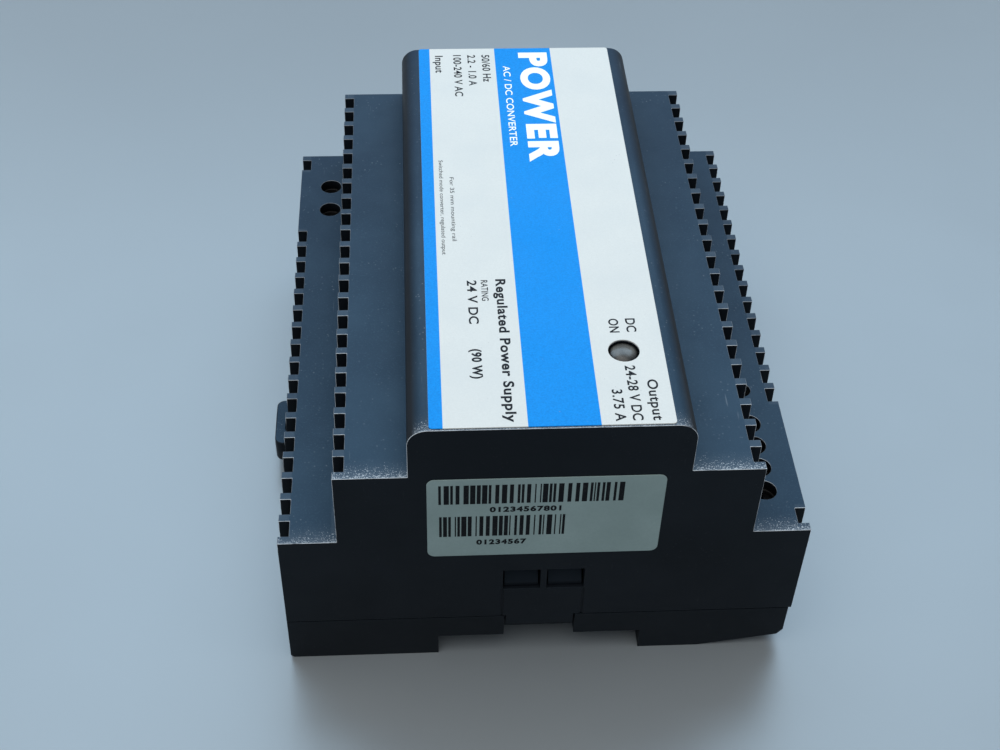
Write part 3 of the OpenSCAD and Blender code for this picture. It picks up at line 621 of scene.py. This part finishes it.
# Each line of print: name, words, height, length, weight, x of its foot, y of its start or end
# from the near edge, and which end that is. Lengths are in mm.
DARK_LINES = (
    ("print_input", "Input", 1.6, 6.2, 0.015, -16.2, 105.0, "LEFT"),
    ("print_input_volts", "100-240 V AC", 1.6, 14.8, 0.015, -12.5, 105.2, "LEFT"),
    ("print_input_amps", "2.2 - 1.0 A", 1.6, 11.1, 0.015, -9.6, 105.2, "LEFT"),
    ("print_input_hertz", "50/60 Hz", 1.6, 9.8, 0.015, -6.7, 105.2, "LEFT"),
    ("print_kind", "Switched mode converter, regulated output", 0.75, 27.5, 0.0, -16.3, 69.3, "LEFT"),
    ("print_use", "For 35 mm mounting rail", 0.75, 18.5, 0.0, -14.4, 64.0, "LEFT"),
    ("print_heading", "Regulated Power Supply", 1.75, 34, 0.03, -7.4, 35.0, "LEFT"),
    ("print_rating_word", "RATING", 1.15, 5.3, 0.01, -9.9, 34.8, "LEFT"),
    ("print_rating", "24 V DC", 1.65, 11.0, 0.02, -12.3, 34.8, "LEFT"),
    ("print_power", "(90 W)", 1.65, 6.9, 0.04, -12.2, 17.7, "LEFT"),
    ("print_dc", "DC", 1.65, 3.3, 0.02, 13.8, 24.4, "LEFT"),
    ("print_on", "ON", 1.65, 3.4, 0.02, 10.95, 24.4, "LEFT"),
    ("print_output", "Output", 1.7, 9.1, 0.02, 15.7, 0.7, "RIGHT"),
    ("print_output_volts", "24-28 V DC", 1.7, 12.3, 0.02, 12.5, 0.8, "RIGHT"),
    ("print_output_amps", "3.75 A", 1.7, 7.0, 0.02, 9.8, 0.7, "RIGHT"),
)
WHITE_LINES = (
    ("print_power_word", "POWER", 5.9, 37.4, 0.055, 0.85, 105.9, "LEFT"),
    ("print_converter", "AC / DC CONVERTER", 1.4, 27.5, 0.01, -2.5, 101, "LEFT"),
)
for lines, material in ((DARK_LINES, dark_ink), (WHITE_LINES, white_ink)):
    for name, words, height, length, weight, x, y, ends in lines:
        letters = text_mesh(name, words, height * MM, length * MM, ends, weight)
        print_on_label(name, letters, x * MM, LABEL_LOW.y + y * MM, material)

# ------------------------------------------------------------------ serial sticker

PAPER_DULL = (0.255, 0.345, 0.335)
PAPER_CLEAN = (0.30, 0.40, 0.39)
PAPER_FIBRE = (0.22, 0.29, 0.285)
STICKER_PRINT_RISE = 0.008 * MM
STICKER_FRONT = STICKER_LOW.y - STICKER_PRINT_RISE
BAR_MODULE = 0.215 * MM
DIGIT_HEIGHT = 1.3 * MM
DIGIT_WEIGHT = 0.05


def paper_sticker():
    """Matt grey-green paper, a little dull in patches, with short fibres in it."""
    m = Shader("paper_sticker")
    tone = m.ramp(m.noise(10 * MM, detail=5), 0.35, 0.7)
    fibre = m.ramp(m.noise(0.5 * MM, detail=3), 0.35, 0.7)
    paper = m.mix(tone, PAPER_DULL, PAPER_CLEAN)
    m.set(Base_Color=m.mix(m.times(fibre, 0.25), paper, PAPER_FIBRE),
          Roughness=m.blend_value(m.noise(3 * MM), 0.50, 0.66))
    m.bump(m.noise(0.4 * MM, detail=3), 0.01 * MM, 0.4)
    return m.material


def bar_row(name, x0, x1, z0, z1, seed):
    """A row of upright bars of made-up widths, which encode nothing."""
    random.seed(seed)
    parts, x = [], x0
    while x < x1 - 3 * BAR_MODULE:
        bar = BAR_MODULE * random.choice((1, 2, 2, 3, 4))
        corners = [Vector((x, STICKER_FRONT, z0)), Vector((x + bar, STICKER_FRONT, z0)),
                   Vector((x + bar, STICKER_FRONT, z1)), Vector((x, STICKER_FRONT, z1))]
        parts.append((corners, [(0, 1, 2, 3)]))
        x += bar + BAR_MODULE * random.choice((1, 1, 1, 2, 2, 3))
    add_piece(name, mesh_from(name, *joined(parts)), dark_ink)


def sticker_digits(name, words, x_middle, z, length):
    """Upright digits on the sticker, centred on x_middle, with their feet at z."""
    mesh = text_mesh(name, words, DIGIT_HEIGHT, length, "CENTRE", DIGIT_WEIGHT)
    mesh.transform(Matrix.Translation((x_middle, STICKER_FRONT, z)) @ Matrix.Rotation(math.pi / 2, 4, "X"))
    add_piece(name, mesh, dark_ink)


dress("serial_label", paper_sticker(), 0.04 * MM)
bar_row("bars_upper", -18.1 * MM, 12.1 * MM, 41.3 * MM, 45.9 * MM, seed=3)
bar_row("bars_lower", -18.0 * MM, 3.3 * MM, 33.1 * MM, 38.2 * MM, seed=8)
sticker_digits("digits_upper", "01234567801", -3.8 * MM, 39.15 * MM, 11.8 * MM)
sticker_digits("digits_lower", "01234567", -7.6 * MM, 30.85 * MM, 8.4 * MM)

# ------------------------------------------------------------------ indicator light

SMOKE_DARK = (0.040, 0.037, 0.032)
SMOKE_PALE = (0.088, 0.084, 0.072)
LENS_RIM_SHADE = (0.004, 0.004, 0.004)
# from the middle of the painted rim shade, which sits a little towards the far side: where the lens starts
# to darken, and where it is darkest
LENS_CLEAR, LENS_DARK = 1.65 * MM, 2.35 * MM
RIM_SHADE_SHIFT = 0.4 * MM


def led_epoxy():
    """Smoky grey moulded lens with painted shade around its rim, heavier on the near side."""
    m = Shader("led_epoxy")
    tone = m.ramp(m.noise(1.5 * MM, detail=3), 0.3, 0.7)
    across = m.minus(m.axis("X"), (LED_LOW.x + LED_HIGH.x) / 2)
    along = m.minus(m.axis("Y"), (LED_LOW.y + LED_HIGH.y) / 2 + RIM_SHADE_SHIFT)
    squares = m.plus(m.times(across, across), m.times(along, along))
    from_middle = m.math("SQRT", squares)
    # painted shade of the lens's rounded rim
    edge = m.ramp(from_middle, LENS_CLEAR, LENS_DARK)
    smoke = m.mix(tone, SMOKE_DARK, SMOKE_PALE)
    m.set(Base_Color=m.mix(edge, smoke, LENS_RIM_SHADE),
          Roughness=m.blend_value(m.noise(0.8 * MM), 0.22, 0.34))
    m.shader.inputs["Coat Weight"].default_value = 0.12
    m.shader.inputs["Coat Roughness"].default_value = 0.10
    m.bump(m.noise(0.6 * MM, detail=2), 0.01 * MM, 0.25)
    return m.material


dress("led_lens", led_epoxy(), 0)
dress("led_spacer", plain_plastic("spacer_black", (0.010, 0.010, 0.011)), 0.1 * MM)

# ------------------------------------------------------------------ terminals and trimmer

block_skin = plain_plastic("terminal_plastic", (0.006, 0.006, 0.007), 0.5)
# painted shade: the screws are near black for the shade deep in the terminal holes
shade_dark_zinc = metal("zinc_steel", (0.017, 0.017, 0.019), 0.48, grain=0.3 * MM)
nickel = metal("nickel_plate", (0.62, 0.59, 0.52), 0.28, brushed=(1, 1, 0.2))
tinned = metal("tinned_copper", (0.66, 0.58, 0.42), 0.32, brushed=(0.3, 1, 1))
for node in NODES:
    if node.endswith("terminal_block"):
        dress(node, block_skin, 0.1 * MM, flatten=False)
    elif "_clamp_" in node:
        dress(node, nickel, 0.12 * MM, flatten=False)
    elif "_screw_" in node or node in ("board_screws", "device_screws"):
        dress(node, shade_dark_zinc, 0.08 * MM)
    elif node in ("input_contacts", "output_contacts", "fuse_clips", "led_leads"):
        dress(node, tinned, 0.06 * MM)
dress("trim_pot_body", plain_plastic("trimmer_blue", (0.02, 0.06, 0.30), 0.35), 0.1 * MM)
dress("trim_pot_shaft", plain_plastic("shaft_nylon", (0.55, 0.54, 0.48), 0.5), 0.06 * MM)

# ------------------------------------------------------------------ latch spring

SPRING_LOW, SPRING_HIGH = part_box("latch_spring")
SPRING_TURNS = 7
SPRING_WIRE = 0.3 * MM
STEPS_PER_TURN = 28


def make_spring():
    """Smooth coil in the space of the CAD spring."""
    middle = (SPRING_LOW + SPRING_HIGH) / 2
    coil_r = (SPRING_HIGH.z - SPRING_LOW.z) / 2 - SPRING_WIRE
    length = SPRING_HIGH.x - SPRING_LOW.x - 2 * SPRING_WIRE
    steps = STEPS_PER_TURN * SPRING_TURNS
    route = []
    for i in range(steps + 1):
        angle = 2 * math.pi * SPRING_TURNS * i / steps
        x = SPRING_LOW.x + SPRING_WIRE + length * i / steps
        route.append(Vector((x, middle.y + coil_r * math.cos(angle), middle.z + coil_r * math.sin(angle))))
    wire = metal("spring_steel", (0.60, 0.61, 0.63), 0.25, brushed=(0.2, 1, 1))
    coil = tube_mesh("coil_spring", route, SPRING_WIRE)
    spring = add_piece("coil_spring", coil, wire)
    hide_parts("latch_spring")
    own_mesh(spring)


make_spring()

# ------------------------------------------------------------------ board and its components


MASK_DARK, MASK_PALE = (0.010, 0.085, 0.035), (0.014, 0.11, 0.045)
MASK_ON_TRACK = (0.03, 0.19, 0.07)
TINNED_PAD = (0.55, 0.50, 0.38)
TRACK_CELLS = 150
WIRE_SHADE, WIRE_LIT = (0.16, 0.045, 0.012), (0.62, 0.25, 0.09)
TAPE_WIDTH = 4.5 * MM
TAPE_DARK, TAPE_PALE, TAPE_EDGE = (0.55, 0.38, 0.03), (0.66, 0.48, 0.05), (0.35, 0.22, 0.02)
SLEEVE_STRIPE = (0.42, 0.44, 0.46)
CAN_TOP, CAN_SCORE = (0.60, 0.61, 0.62), (0.25, 0.25, 0.26)
RESISTOR_LENGTH = 10 * MM
LACQUER_DARK, LACQUER_PALE = (0.20, 0.28, 0.34), (0.28, 0.36, 0.42)
BAND_WIDTH = 0.95 * MM
RESISTOR_BANDS = (
    # start along the body, colour
    (1.4 * MM, (0.30, 0.10, 0.02)),
    (3.2 * MM, (0.02, 0.02, 0.02)),
    (5.0 * MM, (0.45, 0.03, 0.02)),
    (7.9 * MM, (0.50, 0.33, 0.06)),
)


def middle_of(node):
    low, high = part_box(node)
    return (low + high) / 2


def board_laminate():
    """Green solder mask over a web of copper tracks and round pads."""
    m = Shader("board_laminate")
    cell = m.node("ShaderNodeTexBrick")
    m.link(m.scaled((1, 1, 1)), cell.inputs["Vector"])
    cell.inputs["Scale"].default_value = TRACK_CELLS
    cell.inputs["Mortar Size"].default_value = 0.02
    cell.inputs["Mortar Smooth"].default_value = 0.1
    track = m.times(cell.outputs["Fac"], m.ramp(m.noise(20 * MM, detail=1), 0.45, 0.5))
    pad = m.ramp(m.cells(6 * MM), 0.16, 0.14)
    mask = m.mix(m.ramp(m.noise(10 * MM), 0.3, 0.7), MASK_DARK, MASK_PALE)
    mask = m.mix(track, mask, MASK_ON_TRACK)
    m.set(Base_Color=m.mix(pad, mask, TINNED_PAD), Metallic=m.times(pad, 0.9),
          Roughness=m.blend_value(m.noise(2 * MM), 0.28, 0.40))
    m.bump(m.greater(track, pad), 0.03 * MM, 0.6)
    return m.material


def wound_wire(name, node, turns):
    """Enamelled copper turns around a ring that lies flat at the node's middle."""
    m = Shader(name)
    middle = middle_of(node)
    dx = m.minus(m.axis("X"), middle.x)
    dy = m.minus(m.axis("Y"), middle.y)
    angle = m.math("ARCTAN2", dy, dx)
    wave = m.math("ABSOLUTE", m.math("SINE", m.times(angle, turns / 2)))
    lit = m.ramp(wave, 0.1, 0.9)
    m.set(Base_Color=m.mix(lit, WIRE_SHADE, WIRE_LIT),
          Roughness=m.blend_value(m.noise(1 * MM), 0.20, 0.34))
    m.shader.inputs["Metallic"].default_value = 0.85
    m.bump(lit, 0.35 * MM, 0.8)
    return m.material


def taped_winding():
    """Yellow polyester tape in level laps."""
    m = Shader("winding_tape")
    lap = m.math("FRACT", m.math("DIVIDE", m.axis("Z"), TAPE_WIDTH))
    edge = m.ramp(lap, 0.06, 0.0)
    tone = m.mix(m.ramp(m.noise(4 * MM, detail=3), 0.3, 0.7), TAPE_DARK, TAPE_PALE)
    m.set(Base_Color=m.mix(edge, tone, TAPE_EDGE),
          Roughness=m.blend_value(m.noise(2 * MM), 0.22, 0.36))
    m.bump(lap, 0.08 * MM, 0.7)
    return m.material


def sleeved_can(name, node, colour):
    """Shrink sleeve with a pale stripe down one side, and a bare aluminium top scored with a cross."""
    m = Shader(name)
    low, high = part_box(node)
    middle, radius, top = middle_of(node), (high.x - low.x) / 2, high.z
    dx = m.minus(m.axis("X"), middle.x)
    dy = m.minus(m.axis("Y"), middle.y)
    stripe = m.ramp(dx, radius * 0.80, radius * 0.84)
    upward = m.ramp(m.axis("Z"), top - 0.05 * MM, top - 0.02 * MM)
    score = m.math("MINIMUM", m.math("ABSOLUTE", dx), m.math("ABSOLUTE", dy))
    line = m.times(m.ramp(score, 0.20 * MM, 0.12 * MM), upward)
    sleeve = m.mix(stripe, m.mix(m.noise(4 * MM), colour, [c * 1.5 for c in colour]), SLEEVE_STRIPE)
    cap = m.mix(line, CAN_TOP, CAN_SCORE)
    m.set(Base_Color=m.mix(upward, sleeve, cap), Metallic=m.times(upward, 0.9),
          Roughness=m.blend_value(m.noise(2 * MM), 0.24, 0.36))
    m.bump(m.plus(m.times(line, -1), m.times(m.noise(1 * MM), 0.1)), 0.12 * MM, 0.6)
    return m.material


def banded_resistor():
    """Blue-grey lacquered body with four colour bands along Y, on each of the three resistors."""
    m = Shader("resistor_body")
    low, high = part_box("power_resistors")
    pitch = (high.y - low.y - RESISTOR_LENGTH) / 2
    along = m.math("FLOORED_MODULO", m.minus(m.axis("Y"), low.y), pitch)
    colour = m.mix(m.noise(3 * MM), LACQUER_DARK, LACQUER_PALE)
    for start, band in RESISTOR_BANDS:
        inside = m.between(along, start, start + BAND_WIDTH)
        colour = m.mix(inside, colour, band)
    m.set(Base_Color=colour, Roughness=m.blend_value(m.noise(1 * MM), 0.22, 0.36))
    m.bump(m.noise(0.8 * MM, detail=2), 0.03 * MM, 0.4)
    return m.material


def moulded_package():
    """Matt black epoxy package."""
    m = Shader("moulded_epoxy")
    tone = m.ramp(m.noise(3 * MM, detail=4), 0.3, 0.7)
    m.set(Base_Color=m.mix(tone, (0.008, 0.008, 0.009), (0.018, 0.018, 0.019)),
          Roughness=m.blend_value(m.noise(1 * MM), 0.52, 0.68))
    m.bump(m.noise(0.2 * MM, detail=3), 0.03 * MM, 0.7)
    return m.material


def clear_glass():
    """Drawn glass tube with faint streaks along it."""
    m = Shader("fuse_glass")
    streak = m.ramp(m.noise(3 * MM, detail=2, stretch=(1, 0.2, 1)), 0.4, 0.7)
    m.set(Base_Color=m.mix(streak, (0.86, 0.92, 0.90), (0.92, 0.96, 0.95)),
          Roughness=m.blend_value(streak, 0.02, 0.06))
    m.shader.inputs["Transmission Weight"].default_value = 0.9
    m.bump(m.noise(4 * MM, detail=1), 0.02 * MM, 0.2)
    return m.material


def insulating_film():
    """Milky plastic sheet, a little wavy."""
    m = Shader("insulating_film")
    tone = m.ramp(m.noise(20 * MM, detail=3), 0.3, 0.7)
    m.set(Base_Color=m.mix(tone, (0.60, 0.60, 0.52), (0.68, 0.68, 0.60)),
          Roughness=m.blend_value(m.noise(5 * MM), 0.35, 0.5))
    m.bump(m.noise(6 * MM, detail=2), 0.06 * MM, 0.4)
    return m.material


dress("main_board", board_laminate(), 0.05 * MM)
dress("insulation_sheet", insulating_film(), 0)
dress("fuse_tube", clear_glass(), 0)
dress("fuse_caps", nickel, 0.1 * MM)
dress("choke_windings", wound_wire("choke_wire", "choke_windings", turns=58), 0.5 * MM)
dress("inductor_winding", wound_wire("inductor_wire", "inductor_core", turns=46), 0.5 * MM)
dress("transformer_winding", taped_winding(), 0)
dress("power_resistors", banded_resistor(), 0.4 * MM, segments=3)
bulk_sleeve = sleeved_can("bulk_sleeve", "bulk_capacitor", (0.012, 0.016, 0.035))
dress("bulk_capacitor", bulk_sleeve, 0.6 * MM, segments=3)
output_sleeve = sleeved_can("output_sleeve", "output_capacitors", (0.012, 0.020, 0.030))
dress("output_capacitors", output_sleeve, 0.4 * MM, segments=3)

PLASTIC_PARTS = (
    # node, material, colour, roughness, grain, rounding of its edges, steps of the rounding
    ("varistor", "varistor_epoxy", (0.02, 0.09, 0.42), 0.28, 0.4 * MM, 0.8 * MM, 4),
    ("y_capacitor", "y_capacitor_epoxy", (0.03, 0.14, 0.50), 0.28, 0.4 * MM, 0.7 * MM, 4),
    ("inrush_thermistor", "thermistor_epoxy", (0.02, 0.045, 0.025), 0.3, 0.4 * MM, 0.9 * MM, 4),
    ("x_capacitor", "capacitor_yellow", (0.62, 0.40, 0.02), 0.34, 0.4 * MM, 0.5 * MM, 3),
    ("choke_core", "choke_ferrite", (0.020, 0.023, 0.024), 0.55, 0.6 * MM, 0.5 * MM, 2),
    ("transformer_core", "transformer_ferrite", (0.018, 0.018, 0.019), 0.6, 0.6 * MM, 0.3 * MM, 2),
    ("inductor_core", "iron_powder", (0.60, 0.45, 0.03), 0.5, 0.6 * MM, 0.5 * MM, 2),
    ("choke_base", "choke_base_black", (0.010, 0.010, 0.011), 0.45, 0.4 * MM, 0.2 * MM, 2),
    ("transformer_bobbin", "bobbin_black", (0.014, 0.014, 0.016), 0.45, 0.4 * MM, 0.1 * MM, 2),
)
for node, name, colour, roughness, grain, rounding, steps in PLASTIC_PARTS:
    dress(node, plain_plastic(name, colour, roughness, grain), rounding, segments=steps)

package = moulded_package()
for node in ("bridge_rectifier", "power_transistor", "output_diode", "optocoupler", "control_chip"):
    dress(node, package, 0.15 * MM)
sink = metal("sink_aluminium", (0.62, 0.63, 0.65), 0.36, brushed=(1, 1, 0.12))
for node in ("primary_heatsink", "secondary_heatsink"):
    dress(node, sink, 0.15 * MM)
